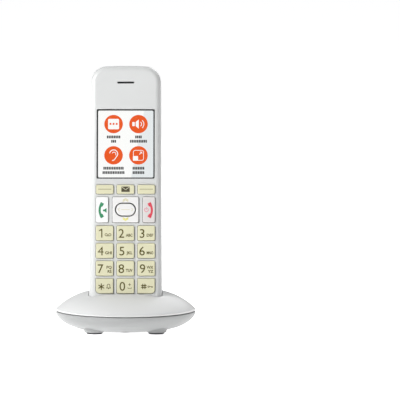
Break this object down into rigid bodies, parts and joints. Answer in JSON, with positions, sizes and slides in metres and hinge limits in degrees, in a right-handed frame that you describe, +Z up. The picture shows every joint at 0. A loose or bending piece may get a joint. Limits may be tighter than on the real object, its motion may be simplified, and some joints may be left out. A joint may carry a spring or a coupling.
{
  "type": "cordless phone with base",
  "caption": "Cordless telephone: a slim handset with colour display, pressing keys and a rocker stands leaning back in a pebble-shaped charging base and lifts out of its pocket.",
  "frame": {"origin": "middle of the base's footprint, on the surface that its rubber feet stand on", "axes": "+X to the right of a person facing the keys, +Y to the back, +Z up; the handset leans back 14 degrees towards +Y"},
  "size_m": [0.0956, 0.0808, 0.1795],
  "materials": {
    "handset_shell": "satin white moulded ABS",
    "base_shell": "satin white moulded ABS",
    "base_underside": "glossy light grey-white moulded ABS",
    "foot_rubber": "dark grey rubber, matt",
    "display_window": "clear polished acrylic window",
    "display_border": "dark grey printed border",
    "display_panel": "lit colour display, near white",
    "black_plastic": "black moulded plastic",
    "acoustic_mesh": "black woven acoustic cloth",
    "speaker_metal": "pressed metal",
    "circuit_board": "green solder mask",
    "silicone_mat": "translucent grey silicone rubber",
    "cell_sleeve": "plain green shrink sleeve over a steel can",
    "spring_steel": "nickel-plated spring steel",
    "contact_plate": "nickel-plated contact",
    "screw_steel": "zinc-plated screw steel",
    "antenna_metal": "thin brass strip",
    "socket_plastic": "black moulded plastic",
    "white_key": "white satin key cap",
    "grey_key": "greyish white satin key cap",
    "cream_key": "cream satin key cap",
    "legend_ink": "dark olive ink printed on the keys",
    "talk_ink": "green ink printed on the talk key",
    "end_ink": "red ink printed on the end key",
    "screen_picture": "orange and grey signs shown on the lit display"
  },
  "bodies": {
    "base": {"base_cover": "base_shell", "base_pan": "base_underside", "base_feet": "foot_rubber", "charge_springs": "spring_steel", "contact_carrier": "black_plastic", "base_board": "circuit_board", "base_screws": "screw_steel", "power_socket": "socket_plastic", "line_socket": "socket_plastic"},
    "handset": {"front_shell": "handset_shell", "rear_shell": "handset_shell", "display_lens": "display_window", "display_mask": "display_border", "lcd_panel": "display_panel", "lcd_holder": "black_plastic", "earpiece_mesh": "acoustic_mesh", "earpiece_receiver": "black_plastic", "handsfree_speaker": "speaker_metal", "microphone": "speaker_metal", "main_board": "circuit_board", "keypad_mat": "silicone_mat", "battery_cells": "cell_sleeve", "battery_contacts": "spring_steel", "charge_pads": "contact_plate", "handset_screws": "screw_steel", "antenna": "antenna_metal"},
    "battery_cover": {"battery_cover": "handset_shell"},
    "key_1": {"key_1": "cream_key"},
    "key_2": {"key_2": "cream_key"},
    "key_3": {"key_3": "cream_key"},
    "key_4": {"key_4": "cream_key"},
    "key_5": {"key_5": "cream_key"},
    "key_6": {"key_6": "cream_key"},
    "key_7": {"key_7": "cream_key"},
    "key_8": {"key_8": "cream_key"},
    "key_9": {"key_9": "cream_key"},
    "key_star": {"key_star": "cream_key"},
    "key_0": {"key_0": "cream_key"},
    "key_hash": {"key_hash": "cream_key"},
    "key_talk": {"key_talk": "white_key"},
    "key_end": {"key_end": "grey_key"},
    "key_soft_left": {"key_soft_left": "cream_key"},
    "key_message": {"key_message": "cream_key"},
    "key_soft_right": {"key_soft_right": "cream_key"},
    "nav_rocker": {"nav_rocker": "white_key"},
    "nav_centre": {"nav_centre": "white_key"}
  },
  "joints": [
    {"name": "handset_lift", "type": "slide", "parent": "base", "child": "handset", "axis": [0, 0.2419, 0.9703], "range_m": [0, 0.08]},
    {"name": "battery_cover_release", "type": "slide", "parent": "handset", "child": "battery_cover", "axis": [0, 0.9703, -0.2419], "range_m": [0, 0.02]},
    {"name": "key_1_press", "type": "slide", "parent": "handset", "child": "key_1", "axis": [0, 0.9703, -0.2419], "range_m": [0, 0.0005], "stiffness_N_per_m": 400, "springref_m": -0.001},
    {"name": "key_2_press", "type": "slide", "parent": "handset", "child": "key_2", "axis": [0, 0.9703, -0.2419], "range_m": [0, 0.0005], "stiffness_N_per_m": 400, "springref_m": -0.001},
    {"name": "key_3_press", "type": "slide", "parent": "handset", "child": "key_3", "axis": [0, 0.9703, -0.2419], "range_m": [0, 0.0005], "stiffness_N_per_m": 400, "springref_m": -0.001},
    {"name": "key_4_press", "type": "slide", "parent": "handset", "child": "key_4", "axis": [0, 0.9703, -0.2419], "range_m": [0, 0.0005], "stiffness_N_per_m": 400, "springref_m": -0.001},
    {"name": "key_5_press", "type": "slide", "parent": "handset", "child": "key_5", "axis": [0, 0.9703, -0.2419], "range_m": [0, 0.0005], "stiffness_N_per_m": 400, "springref_m": -0.001},
    {"name": "key_6_press", "type": "slide", "parent": "handset", "child": "key_6", "axis": [0, 0.9703, -0.2419], "range_m": [0, 0.0005], "stiffness_N_per_m": 400, "springref_m": -0.001},
    {"name": "key_7_press", "type": "slide", "parent": "handset", "child": "key_7", "axis": [0, 0.9703, -0.2419], "range_m": [0, 0.0005], "stiffness_N_per_m": 400, "springref_m": -0.001},
    {"name": "key_8_press", "type": "slide", "parent": "handset", "child": "key_8", "axis": [0, 0.9703, -0.2419], "range_m": [0, 0.0005], "stiffness_N_per_m": 400, "springref_m": -0.001},
    {"name": "key_9_press", "type": "slide", "parent": "handset", "child": "key_9", "axis": [0, 0.9703, -0.2419], "range_m": [0, 0.0005], "stiffness_N_per_m": 400, "springref_m": -0.001},
    {"name": "key_star_press", "type": "slide", "parent": "handset", "child": "key_star", "axis": [0, 0.9703, -0.2419], "range_m": [0, 0.0005], "stiffness_N_per_m": 400, "springref_m": -0.001},
    {"name": "key_0_press", "type": "slide", "parent": "handset", "child": "key_0", "axis": [0, 0.9703, -0.2419], "range_m": [0, 0.0005], "stiffness_N_per_m": 400, "springref_m": -0.001},
    {"name": "key_hash_press", "type": "slide", "parent": "handset", "child": "key_hash", "axis": [0, 0.9703, -0.2419], "range_m": [0, 0.0005], "stiffness_N_per_m": 400, "springref_m": -0.001},
    {"name": "key_talk_press", "type": "slide", "parent": "handset", "child": "key_talk", "axis": [0, 0.9703, -0.2419], "range_m": [0, 0.0005], "stiffness_N_per_m": 400, "springref_m": -0.001},
    {"name": "key_end_press", "type": "slide", "parent": "handset", "child": "key_end", "axis": [0, 0.9703, -0.2419], "range_m": [0, 0.0005], "stiffness_N_per_m": 400, "springref_m": -0.001},
    {"name": "key_soft_left_press", "type": "slide", "parent": "handset", "child": "key_soft_left", "axis": [0, 0.9703, -0.2419], "range_m": [0, 0.0005], "stiffness_N_per_m": 400, "springref_m": -0.001},
    {"name": "key_message_press", "type": "slide", "parent": "handset", "child": "key_message", "axis": [0, 0.9703, -0.2419], "range_m": [0, 0.0005], "stiffness_N_per_m": 400, "springref_m": -0.001},
    {"name": "key_soft_right_press", "type": "slide", "parent": "handset", "child": "key_soft_right", "axis": [0, 0.9703, -0.2419], "range_m": [0, 0.0005], "stiffness_N_per_m": 400, "springref_m": -0.001},
    {"name": "nav_rocker_tilt", "type": "hinge", "parent": "handset", "child": "nav_rocker", "pos_m": [0, -0.00008, 0.08273], "axis": [1, 0, 0], "range_deg": [-2.5, 2.5], "stiffness_Nm_per_rad": 0.1},
    {"name": "nav_centre_tilt", "type": "hinge", "parent": "handset", "child": "nav_centre", "pos_m": [0, -0.00008, 0.08273], "axis": [0, 0.2419, 0.9703], "range_deg": [-2.5, 2.5], "stiffness_Nm_per_rad": 0.05}
  ]
}
